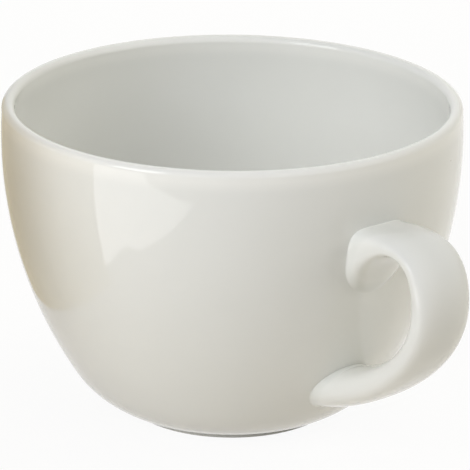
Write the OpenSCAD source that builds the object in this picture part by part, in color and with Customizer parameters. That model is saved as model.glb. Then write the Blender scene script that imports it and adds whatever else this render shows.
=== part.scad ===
// Porcelain tea cup: a turned bowl on a low foot ring, with a cast strap handle luted on at two roots.
// The cup's axis is Z, the table is the plane z = 0, and the handle points along +X.

/* [Bowl] */
// Outer diameter of the lip
rim_d = 95; // [85:0.5:110]
// Height from the table to the top of the lip
cup_h = 66.4; // [60:0.2:76]
// Thickness of the wall, and of the full-round lip
wall_t = 2.7; // [2:0.1:3.6]
// Lean of the wall towards the axis at the lip, in degrees
rim_lean = 4; // [0:0.5:6]
// Radius of the long arc of the side
side_r = 92.7; // [80:0.1:120]
// How much tighter the arc inside is, beyond the wall's thickness, so that the wall thickens downwards
side_gain = 6; // [0:0.5:10]
// Slope of the wall from the vertical where the side turns into the heel, in degrees
side_turn = 32; // [27:0.5:34]
// Radius of the heel inside the bowl
heel_in_r = 20; // [14:0.5:24]
// Thickness of the floor
floor_t = 3; // [2.4:0.1:4]

/* [Foot] */
// Outer diameter of the foot ring
foot_d = 44.6; // [40:0.2:50]
// Width of the foot ring
foot_w = 3; // [2.4:0.1:4]
// Height of the heel above the table, on the outside
foot_h = 1.1; // [0.8:0.1:2]
// Step from the heel in to the foot ring
foot_step = 0.5; // [0.1:0.05:0.8]
// Height of the underside above the table, within the foot ring
foot_recess = 2.2; // [1.6:0.1:3.2]
// Rounding of the edges of the foot ring
foot_round = 0.5; // [0.3:0.05:0.7]

/* [Handle] */
// How far the handle stands out beyond the lip
handle_out = 21.2; // [17:0.1:26]
// Width of the strap
handle_w = 13.3; // [10:0.1:15]
// Thickness of the strap where it stands out furthest
handle_t = 5.5; // [4:0.1:6.5]
// Height of that place below the lip
grip_drop = 25.8; // [23:0.2:28]
// Height of the top of the upper root below the lip
upper_root_drop = 14.2; // [12:0.1:17]
// Height of the upper root on the wall
upper_root_h = 14; // [12:0.2:15]
// Height of the underside of the lower root above the table
lower_root_z = 9.6; // [8:0.1:12]
// Height of the lower root on the wall
lower_root_h = 10.2; // [8:0.1:11]
// How much the strap widens at its roots, on each side
root_flare = 0.5; // [0:0.05:1]

/* [Slip joints] */
// Thickness of the slip between the wall and the handle
slip_t = 0.5; // [0.3:0.05:0.8]
// Width of the bead of slip around a root, on the wall
bead_w = 0.6; // [0.5:0.05:1.2]
// Height of the bead of slip, along the handle
bead_h = 2; // [0.8:0.1:3]
// Clearance between the slip and the pieces that it joins
seat_gap = 0.05; // [0.03:0.01:0.1]

/* [Hidden] */
$fn = 96;

// Longer than anything here, for cutting shapes
far = 2 * rim_d;

// Lip: a half circle across the top of the wall
lip_r = wall_t / 2;
lip_c = [rim_d / 2 - lip_r, cup_h - lip_r];
// Side: arcs with their centres on the line through the lip's centre
lip_dir = [cos(rim_lean), sin(rim_lean)];
lip_axis_p = lip_c - lip_c.x / lip_dir.x * lip_dir;
side_c = lip_c - (side_r - lip_r) * lip_dir;
side_in_r = side_r - wall_t - side_gain;
side_in_c = lip_c - (side_in_r + lip_r) * lip_dir;
// Heel outside: the arc that leaves the side at its turn and ends above the foot ring
turn_dir = [cos(side_turn), -sin(side_turn)];
turn_p = side_c + side_r * turn_dir;
heel_end = [foot_d / 2 + foot_step, foot_h];
heel_chord = heel_end - turn_p;
heel_r = (heel_chord * heel_chord) / (-2 * (heel_chord * turn_dir));
heel_c = turn_p - heel_r * turn_dir;
// Heel inside: tangent to the inside of the side and to the flat floor
floor_z = foot_recess + floor_t;
heel_in_z = floor_z + heel_in_r;
heel_in_drop = side_in_c.y - heel_in_z;
heel_in_x = sqrt(pow(side_in_r - heel_in_r, 2) - pow(heel_in_drop, 2));
heel_in_c = [side_in_c.x + heel_in_x, heel_in_z];
turn_in_z = side_in_c.y - side_in_r * heel_in_drop / (side_in_r - heel_in_r);
// Where one curve runs into the next, the second laps over the first by this much, along this height
blend_lap = 0.004;
blend_h = 1;
// Foot ring
foot_r = foot_d / 2;
foot_in_r = foot_r - foot_w;

// Handle: two curves in the plane of the handle, one on its outer and one on its inner face
reach = rim_d / 2 + handle_out;
grip_z = cup_h - grip_drop;
upper_top = cup_h - upper_root_drop;
upper_low = upper_top - upper_root_h;
lower_top = lower_root_z + lower_root_h;
// Distance from the wall to the end of the handle, and clearance around the handle's end
end_gap = slip_t + 2 * seat_gap;
pocket_gap = 3 * seat_gap;
// Pull of the curves at their ends, as [out, up] from the end that they start from
crown_pull = [6, 1.9];
shoulder_pull = [0, 14];
elbow_pull = [0, -13.8];
tail_pull = [17.6, 5.3];
throat_pull = [5.3, 12.9];
inner_shoulder_pull = [0, 13.6];
inner_elbow_pull = [0, -10];
inner_tail_pull = [10.7, 3.4];
// Roundness of the strap's section: 2 is an ellipse, more is squarer.
// The roots are round, but for the outer face of the upper one.
strap_round = 2.7;
crown_round = 3.6;
root_round = 1.95;
// Length over which a root runs out into the strap, as a part of one half of the handle
root_len = 0.24;
// Points around a section, sections along the handle and rings across a seat
sides = 36;
steps = 54;
cap_rings = 4;
// Points across the bead of slip
bead_points = 4;
// Thickness of the bead's feathered edge
feather_t = 0.15;

// Outer radius of the wall at a height
function wall_r(z) =
    z > turn_p.y ? side_c.x + sqrt(pow(side_r, 2) - pow(z - side_c.y, 2))
    : heel_c.x + sqrt(pow(heel_r, 2) - pow(z - heel_c.y, 2));

function bezier(p, t) =
    pow(1 - t, 3) * p[0] + 3 * pow(1 - t, 2) * t * p[1] + 3 * (1 - t) * t * t * p[2] + pow(t, 3) * p[3];

// A curve from one end to the other, with a pull at each end
function curve(from, from_pull, to, to_pull) = [from, from + from_pull, to + to_pull, to];

function seat(z) = [wall_r(z) + end_gap, z];

grip_out = [reach, grip_z];
grip_in = [reach - handle_t, grip_z];
outer_upper = curve(seat(upper_top), crown_pull, grip_out, shoulder_pull);
outer_lower = curve(grip_out, elbow_pull, seat(lower_root_z), tail_pull);
inner_upper = curve(seat(upper_low), throat_pull, grip_in, inner_shoulder_pull);
inner_lower = curve(grip_in, inner_elbow_pull, seat(lower_top), inner_tail_pull);

// Place along the handle: 0 at the upper root, 1 where it stands out furthest and 2 at the lower root
function outer_at(u) = u < 1 ? bezier(outer_upper, u) : bezier(outer_lower, u - 1);
function inner_at(u) = u < 1 ? bezier(inner_upper, u) : bezier(inner_lower, u - 1);
function near_upper(u) = exp(-pow(u / root_len, 2));
function near_lower(u) = exp(-pow((2 - u) / root_len, 2));
function half_width(u) = handle_w / 2 + root_flare * (near_upper(u) + near_lower(u));
function outer_round(u) =
    strap_round + (crown_round - strap_round) * near_upper(u) + (root_round - strap_round) * near_lower(u);
function inner_round(u) = strap_round + (root_round - strap_round) * (near_upper(u) + near_lower(u));
// Length that the strap covers per unit of place, at a root: a curve sets out at 3 times its pull
function root_speed(pull, inner_pull) = 3 * (norm(pull) + norm(inner_pull)) / 2;
// Part of the handle that the bead climbs, at the upper and at the lower root
bead_upper = bead_h / root_speed(crown_pull, throat_pull);
bead_lower = bead_h / root_speed(tail_pull, inner_tail_pull);

// Point on a unit outline between a circle and a square, in a direction
function round_square(a, n) = [cos(a), sin(a)] / pow(pow(abs(cos(a)), n) + pow(abs(sin(a)), n), 1 / n);

// Section of the strap at a place along it, made larger all round by grow
function section(u, grow) =
    let (
        mid = (outer_at(u) + inner_at(u)) / 2,
        half = (outer_at(u) - inner_at(u)) / 2,
        across = half * (1 + grow / norm(half))
    )
    [
        for (i = [0 : sides - 1])
            let (a = 360 * i / sides, q = round_square(a, cos(a) > 0 ? outer_round(u) : inner_round(u)))
            [mid.x + across.x * q.x, (half_width(u) + grow) * q.y, mid.y + across.y * q.x]
    ];

// Points carried along X to a set distance from the wall
function on_wall(ring, gap) = [for (p = ring) [sqrt(pow(wall_r(p.z) + gap, 2) - p.y * p.y), p.y, p.z]];

function middle(ring) = [for (k = [0 : 2]) (min([for (p = ring) p[k]]) + max([for (p = ring) p[k]])) / 2];

function scaled(ring, s) = [for (p = ring) middle(ring) + s * (p - middle(ring))];

// Rings that cover a seat on the wall, from its middle out
function seat_rings(ring, gap) = [for (k = [1 : cap_rings]) on_wall(scaled(ring, k / cap_rings), gap)];

function seat_middle(ring, gap) = on_wall([middle(ring)], gap)[0];

function reversed(list) = [for (i = [len(list) - 1 : -1 : 0]) list[i]];

// Closed skin over rings of equal count, with a point at each end
module skin(start, rings, end) {
    n = len(rings[0]);
    last = len(rings) - 1;
    points = concat([start], [for (r = rings) each r], [end]);
    function at(r, i) = 1 + r * n + i % n;
    faces = concat(
        [for (i = [0 : n - 1]) [0, at(0, i), at(0, i + 1)]],
        [
            for (r = [0 : last - 1], i = [0 : n - 1])
                each [
                    [at(r, i), at(r + 1, i), at(r + 1, i + 1)],
                    [at(r, i), at(r + 1, i + 1), at(r, i + 1)]
                ]
        ],
        [for (i = [0 : n - 1]) [len(points) - 1, at(last, i + 1), at(last, i)]]
    );
    polyhedron(points, faces, convexity = 6);
}

// Part of a disc between two heights
module band(centre, radius, low, high) {
    intersection() {
        translate(centre)
            circle(radius);
        translate([0, low])
            square([far, high - low]);
    }
}

// Half section bounded by a side and a heel, from the height low up to the line across the lip.
// Lift raises that line.
module cup_section(radius, centre, low, heel_radius, heel_centre, turn_z, lift) {
    intersection() {
        translate(centre)
            circle(radius);
        polygon([[0, turn_z], [far, turn_z], lip_c + far * lip_dir + [0, lift], lip_axis_p + [0, lift]]);
    }
    band(heel_centre, heel_radius + blend_lap, low, turn_z + blend_h);
    translate([0, low])
        square([heel_centre.x, turn_z + blend_h - low]);
}

// Half section of the foot ring, rounded at its two lower edges
module foot_section() {
    intersection() {
        union() {
            for (r = [foot_in_r + foot_round, foot_r - foot_round])
                translate([r, foot_round])
                    circle(foot_round + blend_lap);
            translate([foot_in_r, foot_round])
                square([foot_w, foot_recess]);
            translate([foot_in_r + foot_round, 0])
                square([foot_w - 2 * foot_round, foot_recess]);
        }
        translate([foot_in_r, 0])
            square([foot_w, foot_recess + floor_t / 2]);
    }
}

module bowl_section() {
    difference() {
        cup_section(side_r, side_c, foot_h, heel_r, heel_c, turn_p.y, 0);
        cup_section(side_in_r, side_in_c, floor_z, heel_in_r, heel_in_c, turn_in_z, lip_r);
        square([foot_in_r, foot_recess]);
    }
    foot_section();
    translate(lip_c)
        circle(lip_r + blend_lap);
}

module bowl() {
    color("#E9E7DD")
        rotate_extrude()
            bowl_section();
}

module handle() {
    upper = section(0, 0);
    lower = section(2, 0);
    body = [for (k = [0 : steps]) section(bead_upper + (2 - bead_upper - bead_lower) * k / steps, 0)];
    color("#E6E4D9")
        skin(
            seat_middle(upper, end_gap),
            concat(seat_rings(upper, end_gap), body, reversed(seat_rings(lower, end_gap))),
            seat_middle(lower, end_gap)
        );
}

// Slip at one root: a pad on the wall, a seat for the handle's end and a bead around it.
// Root is the place of the root along the handle, and top is the place that the bead climbs to.
module slip_joint(root, top) {
    end = section(root, pocket_gap);
    wall_edge = on_wall(section(root, bead_w), seat_gap);
    corner = on_wall(section(root, pocket_gap + feather_t), end_gap);
    top_edge = section(top, pocket_gap + feather_t);
    bead = [
        for (k = [0 : bead_points])
            let (t = k / bead_points)
            [
                for (i = [0 : sides - 1])
                    pow(1 - t, 2) * wall_edge[i] + 2 * t * (1 - t) * corner[i] + t * t * top_edge[i]
            ]
    ];
    pad = seat_rings(section(root, 0), seat_gap);
    seat_floor = seat_rings(end, slip_t + seat_gap);
    rings = concat(pad, bead, [section(top, pocket_gap)], reversed(seat_floor));
    start = seat_middle(end, seat_gap);
    finish = seat_middle(end, slip_t + seat_gap);
    if (top > root)
        skin(start, rings, finish);
    else
        skin(finish, reversed(rings), start);
}

module upper_slip_joint() {
    color("#E2E0D5")
        slip_joint(0, bead_upper);
}

module lower_slip_joint() {
    color("#E2E0D5")
        slip_joint(2, 2 - bead_lower);
}

bowl();
handle();
upper_slip_joint();
lower_slip_joint();
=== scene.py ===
import math

import bpy
import numpy as np
from mathutils import Matrix, Vector


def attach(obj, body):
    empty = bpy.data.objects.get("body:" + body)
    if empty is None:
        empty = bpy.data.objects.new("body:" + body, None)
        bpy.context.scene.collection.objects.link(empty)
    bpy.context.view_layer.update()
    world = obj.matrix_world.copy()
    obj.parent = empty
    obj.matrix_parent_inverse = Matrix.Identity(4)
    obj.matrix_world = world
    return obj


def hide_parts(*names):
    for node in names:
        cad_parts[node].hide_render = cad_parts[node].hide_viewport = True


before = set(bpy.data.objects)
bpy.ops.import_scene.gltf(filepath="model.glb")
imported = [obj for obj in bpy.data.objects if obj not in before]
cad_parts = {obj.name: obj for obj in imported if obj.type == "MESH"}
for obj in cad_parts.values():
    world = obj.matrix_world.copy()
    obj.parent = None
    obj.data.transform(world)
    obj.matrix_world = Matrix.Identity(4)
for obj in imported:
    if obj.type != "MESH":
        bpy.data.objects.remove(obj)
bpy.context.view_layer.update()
scene = bpy.context.scene
scene.view_settings.view_transform = "Standard"
mm = 0.001  # sizes below are in millimetres


def linear(hexColour):  # sRGB hex to linear RGBA
    parts = [int(hexColour[i:i + 2], 16) / 255 for i in (1, 3, 5)]
    return [c / 12.92 if c <= 0.04045 else ((c + 0.055) / 1.055) ** 2.4 for c in parts] + [1.0]


def addNode(tree, kind, values=None, links=None, **settings):
    node = tree.nodes.new(kind)
    for name, value in settings.items():
        setattr(node, name, value)
    for name, value in (values or {}).items():
        node.inputs[name].default_value = value
    for name, source in (links or {}).items():
        tree.links.new(source, node.inputs[name])
    return node


def newMaterial(name):
    material = bpy.data.materials.new(name)
    material.use_nodes = True
    material.node_tree.nodes.clear()
    return material, material.node_tree


def perMetre(millimetres):  # texture scale that gives a pattern of this size
    return 1 / (millimetres * mm)


# glazed porcelain: slip-cast body under a clear fired glaze, so a warm white seen through glass,
# with sharp reflections that waver a little, thinner and lighter glaze on the edges, partly a painted highlight,
# and thicker, darker glaze in the corners, partly painted shade
glaze = {
    "body": "#E5E5E1",
    "bodyShade": "#E0E0DB",
    "thinAndSheen": "#F3F2ED",  # where the glaze ran off an edge, lighter; on the strap's edges partly a painted highlight
    "poolAndShade": "#D5D7D1",  # where it gathered, darker; partly painted shade in the corners
    "speck": "#A39D90",
    "ior": 1.5,
    "roughness": (0.035, 0.07),
    "cloud": 28,  # mm, slow change of tone
    "cloudDetail": 2.0,
    "wave": 9,  # mm, flow of the glaze
    "waveHeight": 0.035,
    "peel": 1.6,  # mm, fine skin of the glaze
    "peelHeight": 0.0016,
    "flowDetail": 1.0,  # of wave and peel
    "speckCell": 11,  # mm between iron specks, in depth too, so few reach the surface
    "speckRadius": 0.19,
    "speckCore": 0.6,  # the part of a speck that is fully dark
}


def makeGlazedPorcelain():
    material, tree = newMaterial("glazedPorcelain")
    place = addNode(tree, "ShaderNodeTexCoord").outputs["Object"]
    cloud = addNode(
        tree, "ShaderNodeTexNoise", {"Scale": perMetre(glaze["cloud"]), "Detail": glaze["cloudDetail"]},
        {"Vector": place},
    ).outputs["Fac"]
    colour = addNode(
        tree, "ShaderNodeMix", {"A": linear(glaze["body"]), "B": linear(glaze["bodyShade"])},
        {"Factor": cloud}, data_type="RGBA",
    )
    # lighter tone from thinner glaze and a painted highlight, darker tone from gathered glaze and painted shade
    for tone, mask in (("thinAndSheen", "glazeThinAndSheen"), ("poolAndShade", "glazePoolAndShade")):
        share = addNode(tree, "ShaderNodeAttribute", attribute_name=mask)
        colour = addNode(
            tree, "ShaderNodeMix", {"B": linear(glaze[tone])},
            {"Factor": share.outputs["Fac"], "A": colour.outputs["Result"]}, data_type="RGBA",
        )
    cells = addNode(tree, "ShaderNodeTexVoronoi", {"Scale": perMetre(glaze["speckCell"])}, {"Vector": place})
    radius = glaze["speckRadius"] / glaze["speckCell"]
    speck = addNode(
        tree, "ShaderNodeMapRange",
        {"From Min": glaze["speckCore"] * radius, "From Max": radius, "To Min": 1.0, "To Max": 0.0},
        {"Value": cells.outputs["Distance"]},
    )
    colour = addNode(
        tree, "ShaderNodeMix", {"B": linear(glaze["speck"])},
        {"Factor": speck.outputs["Result"], "A": colour.outputs["Result"]}, data_type="RGBA",
    )
    wave, peel = (
        addNode(
            tree, "ShaderNodeTexNoise", {"Scale": perMetre(glaze[name]), "Detail": glaze["flowDetail"]},
            {"Vector": place},
        ).outputs["Fac"]
        for name in ("wave", "peel")
    )
    flow = addNode(
        tree, "ShaderNodeBump", {"Strength": 1.0, "Distance": glaze["waveHeight"] * mm}, {"Height": wave},
    )
    skin = addNode(
        tree, "ShaderNodeBump", {"Strength": 1.0, "Distance": glaze["peelHeight"] * mm},
        {"Height": peel, "Normal": flow.outputs["Normal"]},
    )
    polish = addNode(
        tree, "ShaderNodeMapRange", {"To Min": glaze["roughness"][0], "To Max": glaze["roughness"][1]},
        {"Value": cloud},
    )
    shader = addNode(
        tree, "ShaderNodeBsdfPrincipled", {"IOR": glaze["ior"]},
        {
            "Base Color": colour.outputs["Result"], "Roughness": polish.outputs["Result"],
            "Normal": skin.outputs["Normal"],
        },
    )
    addNode(tree, "ShaderNodeOutputMaterial", None, {"Surface": shader.outputs["BSDF"]})
    return material


# biscuit porcelain: the bearing ring is wiped free of glaze before firing, so it is dull and finely gritty
biscuit = {
    "body": "#D9D4C8", "worn": "#BDB6A8",
    "ior": 1.5, "roughness": 0.62,
    "rub": 4, "rubDetail": 4.0,  # mm, marks of wear
    "grit": 0.35, "gritDetail": 2.0, "gritHeight": 0.02,  # mm, the bare clay, coarser than real so that it shows
}


def makeBiscuitPorcelain():
    material, tree = newMaterial("biscuitPorcelain")
    place = addNode(tree, "ShaderNodeTexCoord").outputs["Object"]
    rub, grit = (
        addNode(
            tree, "ShaderNodeTexNoise", {"Scale": perMetre(biscuit[name]), "Detail": biscuit[name + "Detail"]},
            {"Vector": place},
        ).outputs["Fac"]
        for name in ("rub", "grit")
    )
    colour = addNode(
        tree, "ShaderNodeMix", {"A": linear(biscuit["body"]), "B": linear(biscuit["worn"])},
        {"Factor": rub}, data_type="RGBA",
    )
    bump = addNode(
        tree, "ShaderNodeBump", {"Strength": 1.0, "Distance": biscuit["gritHeight"] * mm}, {"Height": grit},
    )
    shader = addNode(
        tree, "ShaderNodeBsdfPrincipled", {"IOR": biscuit["ior"], "Roughness": biscuit["roughness"]},
        {"Base Color": colour.outputs["Result"], "Normal": bump.outputs["Normal"]},
    )
    addNode(tree, "ShaderNodeOutputMaterial", None, {"Surface": shader.outputs["BSDF"]})
    return material


glazedPorcelain = makeGlazedPorcelain()
biscuitPorcelain = makeBiscuitPorcelain()
print("materials made")


def makePiece(name, points, faces, normals, masks, materials, faceMaterials=None):
    mesh = bpy.data.meshes.new(name)
    mesh.from_pydata((np.asarray(points) * mm).tolist(), [], faces, shade_flat=False)
    for material in materials:
        mesh.materials.append(material)
    if faceMaterials is not None:
        mesh.polygons.foreach_set("material_index", faceMaterials)
    for maskName, values in masks.items():
        mesh.attributes.new(maskName, "FLOAT", "POINT").data.foreach_set("value", np.asarray(values, np.float32))
    mesh.normals_split_custom_set_from_vertices(np.asarray(normals).tolist())
    mesh.validate()
    piece = bpy.data.objects.new(name, mesh)
    scene.collection.objects.link(piece)
    return piece


def stitch(count, rings, closed=False, flip=False):  # quads between rings of equal count
    ring = np.arange(count)
    after = (ring + 1) % count
    faces = []
    for k in range(rings if closed else rings - 1):
        here, beyond = k * count, ((k + 1) % rings) * count
        quad = [here + ring, beyond + ring, beyond + after, here + after]
        faces += np.stack(quad[::-1] if flip else quad, 1).tolist()
    return faces


def fan(middle, first, count, flip=False):  # triangles that close a ring over a point in its middle
    ring = np.arange(count)
    here, after = first + ring, first + (ring + 1) % count
    return np.stack([np.full(count, middle), *((after, here) if flip else (here, after))], 1).tolist()


def unit(vectors):
    return vectors / np.linalg.norm(vectors, axis=-1, keepdims=True)


# bowl: turned in one with its foot ring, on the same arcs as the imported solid
bowl = {
    "rim": 95, "height": 66.4, "wall": 2.7,
    "lipLean": 4, "sideTurn": 32,  # degrees, where the side's arc ends above and below the level of its centre
    "sideRadius": 92.7, "sideGain": 6,  # the gain makes the inside's arc tighter, so the wall thickens downwards
    "innerHeel": 20, "floor": 3,
    "foot": 44.6, "footWidth": 3, "footHeight": 1.1, "footStep": 0.5, "recess": 2.2,
    "footRound": 0.5, "recessFillet": 0.7, "stepFillet": 0.35, "heelBreak": 0.55,
    "bareTo": 0.12,  # mm above the table up to which the foot is wiped free of glaze
    # how far the glaze thins or gathers, in mm, and how much; the darker gathered glaze in the step and the recess is
    # partly painted shade
    "lipThin": (1.2, 0.55), "footThin": (0.4, 0.3), "stepPoolAndShade": (0.6, 0.6), "recessPoolAndShade": (0.8, 0.6),
    "turns": 256,  # facets round the axis
    "step": 0.9,  # mm between points of the profile, on the long arcs
    "lipPoints": 22, "cornerPoints": 8, "bearingPoints": 4, "recessPoints": 10, "floorPoints": 12,
    "hub": 1,  # mm, the innermost ring of the floor and the recess, and what the floor leaves to its round
    "recessMargin": 1.5,  # mm of the recess that its fillet needs
}
lipRadius = bowl["wall"] / 2
lipCentre = np.array([bowl["rim"] / 2 - lipRadius, bowl["height"] - lipRadius])
lean = math.radians(bowl["lipLean"])
lipDirection = np.array([math.cos(lean), math.sin(lean)])
sideCentre = lipCentre - (bowl["sideRadius"] - lipRadius) * lipDirection
innerSideRadius = bowl["sideRadius"] - bowl["wall"] - bowl["sideGain"]
innerSideCentre = lipCentre - (innerSideRadius + lipRadius) * lipDirection
turn = math.radians(bowl["sideTurn"])
turnDirection = np.array([math.cos(turn), -math.sin(turn)])
turnPoint = sideCentre + bowl["sideRadius"] * turnDirection
heelEnd = np.array([bowl["foot"] / 2 + bowl["footStep"], bowl["footHeight"]])
heelChord = heelEnd - turnPoint
heelRadius = heelChord @ heelChord / (-2 * heelChord @ turnDirection)
heelCentre = turnPoint - heelRadius * turnDirection
floorHeight = bowl["recess"] + bowl["floor"]
innerDrop = innerSideCentre[1] - floorHeight - bowl["innerHeel"]
innerHeelCentre = np.array([
    innerSideCentre[0] + math.sqrt((innerSideRadius - bowl["innerHeel"]) ** 2 - innerDrop ** 2),
    floorHeight + bowl["innerHeel"],
])


def wallRadius(z):  # outside of the bowl at a height
    side = sideCentre[0] + np.sqrt(np.maximum(bowl["sideRadius"] ** 2 - (z - sideCentre[1]) ** 2, 0))
    heel = heelCentre[0] + np.sqrt(np.maximum(heelRadius ** 2 - (z - heelCentre[1]) ** 2, 0))
    return np.where(np.asarray(z) > turnPoint[1], side, heel)


def angleOf(vector):
    return math.atan2(vector[1], vector[0])


def arc(centre, radius, start, end, count):  # points and outward directions, angles in radians
    angles = np.linspace(start, end, count)
    directions = np.stack([np.cos(angles), np.sin(angles)], 1)
    return centre + radius * directions, directions


def level(radii, height, upward):  # points of a flat and their directions
    count = len(radii)
    return np.stack([radii, np.full(count, height)], 1), np.tile([0, float(upward)], (count, 1))


def corner(before, at, after, radius):  # round a corner of the foot
    back, forth = unit(before - at), unit(after - at)
    half = math.acos(max(-1.0, min(1.0, back @ forth))) / 2
    centre = at + unit(back + forth) * radius / math.sin(half)
    start = angleOf(at + back * radius / math.tan(half) - centre)
    sweep = angleOf(at + forth * radius / math.tan(half) - centre) - start
    sweep = (sweep + math.pi) % (2 * math.pi) - math.pi
    points, directions = arc(centre, radius, start, start + sweep, bowl["cornerPoints"])
    return points, directions if sweep > 0 else -directions


def glazeFade(distance, reach, strength):
    return np.exp(-(distance / reach) ** 2) * strength


def bowlProfile(outer, inner):  # from the recess round the foot, up the wall, over the lip and down to the floor
    heelStart = angleOf(heelEnd - heelCentre)
    heelTangent = np.array([-math.sin(heelStart), math.cos(heelStart)])
    foot = [
        np.array(p, float) for p in (
            (0, bowl["recess"]), (inner, bowl["recess"]), (inner, 0), (outer, 0), (outer, bowl["footHeight"]),
            heelEnd, heelEnd + heelTangent,
        )
    ]
    rounds = [bowl["recessFillet"], bowl["footRound"], bowl["footRound"], bowl["stepFillet"], bowl["heelBreak"]]
    under = np.linspace(bowl["hub"], inner - bowl["recessMargin"], bowl["recessPoints"])
    runs = [level(under, bowl["recess"], -1)]
    for k, radius in enumerate(rounds):
        runs.append(corner(foot[k], foot[k + 1], foot[k + 2], radius))
        if k == 1:  # the bearing flat
            flat = np.linspace(inner + bowl["footRound"], outer - bowl["footRound"], bowl["bearingPoints"] + 2)
            runs.append(level(flat[1:-1], 0, -1))
    breakAngle = math.atan(bowl["heelBreak"] / 2 / heelRadius)
    heelCount = int(heelRadius * (-turn - heelStart) / bowl["step"])
    runs.append(arc(heelCentre, heelRadius, heelStart + breakAngle, -turn, heelCount))
    sideCount = int(bowl["sideRadius"] * (lean + turn) / bowl["step"])
    points, directions = arc(sideCentre, bowl["sideRadius"], -turn, lean, sideCount)
    runs.append((points[1:-1], directions[1:-1]))
    runs.append(arc(lipCentre, lipRadius, lean, lean + math.pi, bowl["lipPoints"]))
    innerTurn = angleOf(innerHeelCentre - innerSideCentre)
    for centre, radius, start, end, count in (
        (innerSideCentre, innerSideRadius, lean, innerTurn, sideCount),
        (innerHeelCentre, bowl["innerHeel"], innerTurn, -math.pi / 2, heelCount),
    ):
        points, directions = arc(centre, radius, start, end, count)
        runs.append((points[1:], -directions[1:]))
    inside = np.linspace(innerHeelCentre[0] - bowl["hub"], bowl["hub"], bowl["floorPoints"])
    runs.append(level(inside, floorHeight, 1))
    return np.concatenate([r[0] for r in runs]), np.concatenate([r[1] for r in runs])


def makeBowl():
    outer, inner = bowl["foot"] / 2, bowl["foot"] / 2 - bowl["footWidth"]
    profile, slopes = bowlProfile(outer, inner)
    turns, rings = bowl["turns"], len(profile)
    angles = np.linspace(0, 2 * math.pi, turns, endpoint=False)
    spin = np.stack([np.cos(angles), np.sin(angles)], 1)
    points, normals = [], []
    for (radius, z), (out, upward) in zip(profile, slopes):
        points.append(np.column_stack([radius * spin, np.full(turns, z)]))
        normals.append(np.column_stack([out * spin, np.full(turns, upward)]))
    points = np.concatenate(points + [np.array([[0, 0, bowl["recess"]], [0, 0, floorHeight]])])
    normals = np.concatenate(normals + [np.array([[0, 0, -1.0], [0, 0, 1.0]])])
    recessMiddle, floorMiddle = rings * turns, rings * turns + 1
    faces = stitch(turns, rings, flip=True)
    faces += fan(recessMiddle, 0, turns, flip=True) + fan(floorMiddle, (rings - 1) * turns, turns)
    wiped = np.maximum(profile[:-1, 1], profile[1:, 1]) < bowl["bareTo"]
    bare = np.append(np.repeat(wiped, turns), np.zeros(2 * turns)).astype(np.int32)
    fromLip = np.hypot(*(profile - lipCentre).T) - lipRadius
    fromStep = np.hypot(*(profile - (outer, bowl["footHeight"])).T)
    fromRecess = np.hypot(*(profile - (inner, bowl["recess"])).T)
    thinAndSheen = glazeFade(fromLip, *bowl["lipThin"]) + glazeFade(profile[:, 1], *bowl["footThin"])
    # darker in the foot's step and recess corners: gathered glaze and painted shade
    poolAndShade = glazeFade(fromStep, *bowl["stepPoolAndShade"]) + glazeFade(fromRecess, *bowl["recessPoolAndShade"])
    masks = {
        "glazeThinAndSheen": np.append(np.repeat(thinAndSheen, turns), [0, 0]),
        "glazePoolAndShade": np.append(np.repeat(poolAndShade, turns), [0, 0]),
    }
    piece = makePiece("turnedBowl", points, faces, normals, masks, [glazedPorcelain, biscuitPorcelain], bare)
    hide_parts("bowl")
    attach(piece, "root")
    return piece


turnedBowl = makeBowl()
print("bowl turned:", len(turnedBowl.data.polygons), "faces")

# handle: cast strap on two curves, one for its outer and one for its inner face, luted on with slip at both roots
strap = {
    "out": 21.2, "width": 13.3, "thickness": 5.5, "gripDrop": 25.8,
    "upperRootDrop": 14.2, "upperRootHeight": 14, "lowerRoot": 9.6, "lowerRootHeight": 10.2,
    "flare": 0.5, "seat": 0.6,
    "rootLength": 0.24,  # how far a root's own shape reaches, as a part of half the handle
    # how far out and up the ends of each face's curves are drawn, in mm
    "crownPull": (6, 2.6), "shoulderPull": (0, 14), "elbowPull": (0, -13.8), "tailPull": (17.6, 5.3),
    "throatPull": (5.3, 12.9), "innerShoulderPull": (0, 13.6),
    "innerElbowPull": (0, -10), "innerTailPull": (10.7, 3.4),
    "roundness": 2.7, "crownRoundness": 4.7, "rootRoundness": 1.95,  # 2 is an ellipse, more is squarer
    "edgeThinAndSheen": 0.25,  # how much the glaze thins on the four rounded edges, lighter there, partly a painted highlight
    "sides": 128, "rings": 150,
}
slip = {
    "spread": 0.6,  # mm that the sponged slip and the glaze run out on the wall
    "throatSpread": 0.2,  # less on the wall above the tail, where the corner is narrow
    "climb": 2.0,  # mm up the strap
    "crownClimb": 0.26,  # more on the crown, where they fill the dip behind it, as a part of half the handle
    "keep": 0.6, "fill": 0.9, "least": 0.12,  # how far the fillet keeps to wall and strap, less in a narrow corner
    "aim": 20,  # the strap's direction is taken over one part in so many of the climb
    "rings": 12,
    "proud": 0.008,  # its edge on the wall, so that the wall doesn't cover it
    "sunk": 0.3, "inset": 0.12,  # its hidden side, in the wall and in the strap
    "poolAndShade": 0.3,  # how much the glaze gathers in the corner, darker there, partly painted shade
}


def bezier(points, t):
    a, b, c, d = (np.array(p, float) for p in points)
    return (1 - t) ** 3 * a + 3 * (1 - t) ** 2 * t * b + 3 * (1 - t) * t ** 2 * c + t ** 3 * d


def pulled(start, startPull, end, endPull):
    return [start, np.add(start, startPull), np.add(end, endPull), end]


def seatAt(z):
    return np.array([float(wallRadius(z)) + strap["seat"], z])


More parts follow.
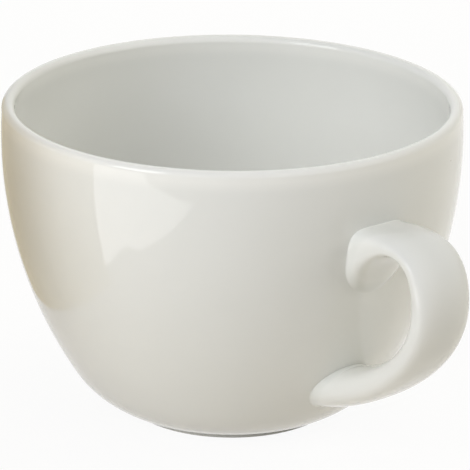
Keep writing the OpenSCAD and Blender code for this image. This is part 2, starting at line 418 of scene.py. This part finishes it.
reach = bowl["rim"] / 2 + strap["out"]
gripHeight = bowl["height"] - strap["gripDrop"]
gripOut, gripIn = np.array([reach, gripHeight]), np.array([reach - strap["thickness"], gripHeight])
upperTop = bowl["height"] - strap["upperRootDrop"]
upperBottom = upperTop - strap["upperRootHeight"]
lowerTop = strap["lowerRoot"] + strap["lowerRootHeight"]
outerFace = [
    pulled(seatAt(upperTop), strap["crownPull"], gripOut, strap["shoulderPull"]),
    pulled(gripOut, strap["elbowPull"], seatAt(strap["lowerRoot"]), strap["tailPull"]),
]
innerFace = [
    pulled(seatAt(upperBottom), strap["throatPull"], gripIn, strap["innerShoulderPull"]),
    pulled(gripIn, strap["innerElbowPull"], seatAt(lowerTop), strap["innerTailPull"]),
]
atUpperRoot, atGrip, atLowerRoot = 0, 1, 2  # places along the handle
around = np.linspace(0, 2 * math.pi, strap["sides"], endpoint=False)
cosine, sine = np.cos(around), np.sin(around)
onCrown = np.maximum(0, cosine) ** 2  # 1 on the middle of the outer face, 0 on the inner one
inThroat = np.maximum(0, -cosine) ** 2  # and the other way about
# lighter on the four rounded edges: thinner glaze and a painted highlight
edgeThinAndSheen = np.abs(np.sin(2 * around)) ** 2 * strap["edgeThinAndSheen"]


def section(place, grow=0.0):  # outline across the strap, at one place for all its points or at one for each
    place = np.broadcast_to(np.asarray(place, float), around.shape)
    upper = (place < atGrip)[:, None]
    t = np.where(place < atGrip, place, place - atGrip)[:, None]
    outer = np.where(upper, bezier(outerFace[0], t), bezier(outerFace[1], t))
    inner = np.where(upper, bezier(innerFace[0], t), bezier(innerFace[1], t))
    middle, across = (outer + inner) / 2, (outer - inner) / 2
    across = across * (1 + grow / np.linalg.norm(across, axis=1))[:, None]
    nearUpper = np.exp(-(place / strap["rootLength"]) ** 2)
    nearLower = np.exp(-((atLowerRoot - place) / strap["rootLength"]) ** 2)
    wide = strap["width"] / 2 + strap["flare"] * (nearUpper + nearLower) + grow
    plain, crown, root = strap["roundness"], strap["crownRoundness"], strap["rootRoundness"]
    outerPower = plain + (crown - plain) * nearUpper + (root - plain) * nearLower
    innerPower = plain + (root - plain) * (nearUpper + nearLower)
    power = np.where(cosine > 0, outerPower, innerPower)
    size = (np.abs(cosine) ** power + np.abs(sine) ** power) ** (-1 / power)
    inPlane = middle + across * (cosine * size)[:, None]
    return np.stack([inPlane[:, 0], wide * sine * size, inPlane[:, 1]], 1)


def ontoWall(points, gap):  # carried straight out from the axis to a distance from the wall
    radius = wallRadius(points[:, 2]) + gap
    scale = radius / np.hypot(points[:, 0], points[:, 1])
    return np.column_stack([points[:, 0] * scale, points[:, 1] * scale, points[:, 2]])


def wallNormal(points):
    nearby = 0.01  # mm up and down, for the wall's slope
    slope = (wallRadius(points[:, 2] + nearby) - wallRadius(points[:, 2] - nearby)) / (2 * nearby)
    radius = np.hypot(points[:, 0], points[:, 1])
    return unit(np.column_stack([points[:, 0] / radius, points[:, 1] / radius, -slope]))


def climbAt(pull, innerPull):  # how far the slip climbs, as a part of half the handle
    startSpeed = 3 * (np.linalg.norm(pull) + np.linalg.norm(innerPull)) / 2  # of both faces, on average
    return slip["climb"] / startSpeed


def rootFillet(root, place):  # rings from the wall up to the strap, tangent to both
    top, meet = section(place), ontoWall(section(root), 0)
    towardsWall = unit(section(place + (root - place) / slip["aim"]) - top)
    ahead = np.roll(meet, -1, 0) - np.roll(meet, 1, 0)
    outward = unit(np.cross(ahead, wallNormal(meet)))
    outward *= np.sign(np.sum(outward * (meet - meet.mean(0))))
    spread = slip["spread"] + (0 if root == atUpperRoot else slip["throatSpread"] - slip["spread"]) * inThroat
    edge = ontoWall(meet + spread[:, None] * outward, slip["proud"])
    climb = np.linalg.norm(top - meet, axis=1)
    narrow = np.maximum(0, np.sum(outward * (top - meet), 1) / climb)  # 0 in a square corner, 1 in a slit
    keep = np.maximum(slip["least"], slip["keep"] - slip["fill"] * narrow)[:, None]
    fromWall = edge + keep * (meet - edge)
    fromStrap = top + keep * climb[:, None] * towardsWall
    return [bezier([edge, fromWall, fromStrap, top], t) for t in np.linspace(0, 1, slip["rings"] + 1)], meet


# one slip joint: a closed ring with its hidden side in the wall and in the strap
def makeSlip(name, node, rings, ringNormals, meet, place, flip):
    count, rows = len(around), len(rings)
    inTop = section(place, -slip["inset"])
    inMeet = ontoWall(meet + slip["inset"] / slip["spread"] * (meet - rings[0]), -slip["sunk"])
    inEdge = ontoWall(rings[0], -slip["sunk"])
    hidden = np.zeros((3 * count, 3))  # a zero leaves the normal to Blender, where nothing shows
    steps = np.linspace(0, 1, rows)
    # darker in the fillet's corner, gathered glaze and painted shade; lighter towards the strap's edges, partly a
    # painted highlight
    masks = {
        "glazePoolAndShade": np.append(np.repeat(np.sin(math.pi * steps) * slip["poolAndShade"], count), hidden[:, 0]),
        "glazeThinAndSheen": np.append(np.outer(steps ** 2, edgeThinAndSheen), hidden[:, 0]),
    }
    piece = makePiece(
        name, np.concatenate([*rings, inTop, inMeet, inEdge]), stitch(count, rows + 3, closed=True, flip=flip),
        np.concatenate([ringNormals.reshape(-1, 3), hidden]), masks, [glazedPorcelain],
    )
    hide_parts(node)
    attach(piece, "root")
    return piece


# the strap, closed by hidden ends under the slip
def makeStrap(visible, shown, ends):
    count, rows = len(around), len(visible) + 2
    points = np.concatenate([ends[0], *visible, ends[1], *(end.mean(0)[None] for end in ends)])
    faces = stitch(count, rows)
    faces += fan(rows * count, 0, count) + fan(rows * count + 1, (rows - 1) * count, count, flip=True)
    hidden = np.zeros((count, 3))
    normals = np.concatenate([hidden, shown.reshape(-1, 3), hidden, np.zeros((2, 3))])
    # lighter along the strap's edges, partly a painted highlight
    masks = {
        "glazeThinAndSheen": np.append(np.tile(edgeThinAndSheen, rows), [0, 0]),
        "glazePoolAndShade": np.zeros(len(points)),
    }
    piece = makePiece("strapHandle", points, faces, normals, masks, [glazedPorcelain])
    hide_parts("handle")
    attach(piece, "root")
    return piece


def makeHandle():
    upperEnd = climbAt(strap["crownPull"], strap["throatPull"]) + slip["crownClimb"] * onCrown
    lowerEnd = atLowerRoot - climbAt(strap["tailPull"], strap["innerTailPull"])
    upperRings, upperMeet = rootFillet(atUpperRoot, upperEnd)
    lowerRings, lowerMeet = rootFillet(atLowerRoot, lowerEnd)
    strapRings = [section(upperEnd + (lowerEnd - upperEnd) * t) for t in np.linspace(0, 1, strap["rings"])]
    grid = np.array(upperRings + strapRings[1:-1] + lowerRings[::-1])  # one skin, so that the shading runs through
    normals = unit(np.cross(np.roll(grid, -1, 1) - np.roll(grid, 1, 1), np.gradient(grid, axis=0)))
    if np.sum(normals * (grid - grid.mean(1, keepdims=True))) < 0:
        normals = -normals
    normals[0], normals[-1] = wallNormal(grid[0]), wallNormal(grid[-1])
    last = slip["rings"]  # the ring that slip and strap share
    upper, lower = slice(0, last + 1), slice(None, -last - 2, -1)
    return [
        makeSlip("upperSlip", "upper_slip_joint", grid[upper], normals[upper], upperMeet, upperEnd, False),
        makeSlip("lowerSlip", "lower_slip_joint", grid[lower], normals[lower], lowerMeet, lowerEnd, True),
        makeStrap(
            grid[last:-last], normals[last:-last], [ontoWall(meet, -slip["sunk"]) for meet in (upperMeet, lowerMeet)],
        ),
    ]


handlePieces = makeHandle()
print("handle and slip made:", [len(p.data.polygons) for p in handlePieces], "faces")

# camera: standing where the picture was taken from, with a long lens
camera = {"at": (517.6, -404.4, 274.9), "aim": (0.46, 0.59, 36.56), "roll": 0.46, "lens": 256.26, "sensor": 36}


def makeCamera():
    data = bpy.data.cameras.new("photoCamera")
    data.lens, data.sensor_width = camera["lens"], camera["sensor"]
    at, aim = Vector(camera["at"]) * mm, Vector(camera["aim"]) * mm
    back = (at - aim).normalized()
    right = Vector((0, 0, 1)).cross(back).normalized()
    up = back.cross(right)
    roll = math.radians(camera["roll"])
    right, up = math.cos(roll) * right + math.sin(roll) * up, math.cos(roll) * up - math.sin(roll) * right
    piece = bpy.data.objects.new("photoCamera", data)
    piece.matrix_world = Matrix.Translation(at) @ Matrix((right, up, back)).transposed().to_4x4()
    scene.collection.objects.link(piece)
    scene.camera = piece


makeCamera()
print("camera placed")

# studio: white floor and surroundings, and soft lamps; angles are from the camera, to the right and up, in degrees
studio = {
    "floorSize": 4000, "floor": "#E4DED2",
    "whiteShare": 0.94,  # of the floor as it is seen, the rest keeps the shadow
    "surround": "#FFFFFF", "surroundMirrored": 0.85,
    "lampAway": 900, "lampAim": 35,  # mm, from the point at that height on the cup's axis that all lamps face
    "lamps": [
        {"name": "windowLamp", "turn": -48, "rise": 30, "size": 380, "power": 2.1, "colour": "#FAFCFF"},
        {"name": "frontLamp", "turn": -32, "rise": 30, "size": 600, "power": 3.8, "colour": "#F6F9FF"},
        {"name": "lowLamp", "turn": 0, "rise": 12, "size": 600, "power": 0.6, "colour": "#FFFFFF"},
        {"name": "sideLamp", "turn": 100, "rise": 30, "size": 600, "power": 4.3, "colour": "#FFFDF5"},
        {"name": "backLamp", "turn": 180, "rise": 30, "size": 600, "power": 3.7, "colour": "#FFFFF2"},
        {"name": "rearLamp", "turn": -165, "rise": 10, "size": 600, "power": 3.0, "colour": "#F1F5FF"},
        {"name": "topLamp", "turn": 5, "rise": 72, "size": 600, "power": 1.2, "colour": "#FFFFFF"},
    ],
    "mirroredLamp": "windowLamp",  # the one that shows in the glaze
    # out of the picture: a glowing white sheet and a glowing tan board that show only in the glaze, as painted
    # reflections, and a board that only shades the left side
    "cards": [
        {
            "name": "litPaperReflection", "colour": "#FFFFFF", "glow": 2.5,
            "corners": [
                (-8, -98, 1), (15, -128, 1), (28, -121, 1), (64, -136, 1), (138, -189, 1), (78, -280, 1),
                (70, -900, 1), (-300, -900, 1), (-75, -281, 1), (-29, -146, 1), (-15, -112, 1),
            ],
        },
        {
            "name": "tanBoardReflection", "colour": "#E0D4B7", "glow": 1.0,
            "corners": [(-0.7, -89.8, 0), (-71, -20, 0), (-71, -20, 90), (-0.7, -89.8, 90)],
        },
        {
            "name": "shadeBoard", "colour": "#C8B794",
            "corners": [(5, -95.5, 18), (-36, -54.9, 18), (-36, -54.9, 90), (5, -95.5, 90)],
        },
    ],
}


def makeSheet(name, corners, material):  # one flat face of the stage
    mesh = bpy.data.meshes.new(name)
    mesh.from_pydata([Vector(c) * mm for c in corners], [], [list(range(len(corners)))])
    mesh.materials.append(material)
    piece = bpy.data.objects.new(name, mesh)
    scene.collection.objects.link(piece)
    return piece


def makeFloor():
    material, tree = newMaterial("paperFloor")
    path = addNode(tree, "ShaderNodeLightPath").outputs
    seen = addNode(
        tree, "ShaderNodeMath", None, {0: path["Is Camera Ray"], 1: path["Is Glossy Ray"]}, operation="MAXIMUM",
    )
    seen = addNode(
        tree, "ShaderNodeMath", None, {0: seen.outputs[0], 1: path["Is Transmission Ray"]}, operation="MAXIMUM",
    )
    share = addNode(tree, "ShaderNodeMath", {1: studio["whiteShare"]}, {0: seen.outputs[0]}, operation="MULTIPLY")
    paper = addNode(tree, "ShaderNodeBsdfDiffuse", {"Color": linear(studio["floor"])})
    white = addNode(tree, "ShaderNodeEmission", {"Color": linear("#FFFFFF"), "Strength": 1.0})
    mixed = addNode(
        tree, "ShaderNodeMixShader", None, {0: share.outputs[0], 1: paper.outputs[0], 2: white.outputs[0]},
    )
    addNode(tree, "ShaderNodeOutputMaterial", None, {"Surface": mixed.outputs[0]})
    half = studio["floorSize"] / 2
    makeSheet("studioFloor", [(-half, -half, 0), (half, -half, 0), (half, half, 0), (-half, half, 0)], material)


def makeSurround():  # seen and mirrored, but lights nothing
    world = bpy.data.worlds.new("studioSurround")
    scene.world = world
    world.use_nodes = True
    tree = world.node_tree
    tree.nodes.clear()
    path = addNode(tree, "ShaderNodeLightPath").outputs
    mirrored = addNode(
        tree, "ShaderNodeMath", {1: studio["surroundMirrored"]}, {0: path["Is Glossy Ray"]}, operation="MULTIPLY",
    )
    direct = addNode(
        tree, "ShaderNodeMath", None, {0: path["Is Camera Ray"], 1: path["Is Transmission Ray"]}, operation="MAXIMUM",
    )
    strength = addNode(
        tree, "ShaderNodeMath", None, {0: mirrored.outputs[0], 1: direct.outputs[0]}, operation="MAXIMUM",
    )
    surround = addNode(
        tree, "ShaderNodeBackground", {"Color": linear(studio["surround"])}, {"Strength": strength.outputs[0]},
    )
    addNode(tree, "ShaderNodeOutputWorld", None, {"Surface": surround.outputs[0]})


def makeLamps():
    at, aim = Vector(camera["at"]), Vector(camera["aim"])
    facing = math.atan2(at.x - aim.x, aim.y - at.y)  # the camera's own azimuth
    for lamp in studio["lamps"]:
        data = bpy.data.lights.new(lamp["name"], "AREA")
        data.size = lamp["size"] * mm
        data.energy, data.color = lamp["power"], linear(lamp["colour"])[:3]
        azimuth, rise = facing + math.radians(lamp["turn"]), math.radians(lamp["rise"])
        direction = Vector((
            math.sin(azimuth) * math.cos(rise), -math.cos(azimuth) * math.cos(rise), math.sin(rise),
        ))
        piece = bpy.data.objects.new(lamp["name"], data)
        piece.location = Vector((0, 0, studio["lampAim"] * mm)) + direction * studio["lampAway"] * mm
        piece.rotation_euler = direction.to_track_quat("Z", "Y").to_euler()
        piece.visible_glossy = lamp["name"] == studio["mirroredLamp"]
        scene.collection.objects.link(piece)


def makeCards():
    for card in studio["cards"]:
        material, tree = newMaterial(card["name"])
        # glowing cards, seen only in the glaze: painted reflections
        if "glow" in card:
            face = addNode(tree, "ShaderNodeEmission", {"Color": linear(card["colour"]), "Strength": card["glow"]})
        else:
            face = addNode(tree, "ShaderNodeBsdfDiffuse", {"Color": linear(card["colour"])})
        addNode(tree, "ShaderNodeOutputMaterial", None, {"Surface": face.outputs[0]})
        piece = makeSheet(card["name"], card["corners"], material)
        piece.visible_camera = False
        piece.visible_glossy = "glow" in card
        piece.visible_diffuse = piece.visible_shadow = "glow" not in card


makeFloor()
makeSurround()
makeLamps()
makeCards()
print("studio lit:", len(studio["lamps"]), "lamps")
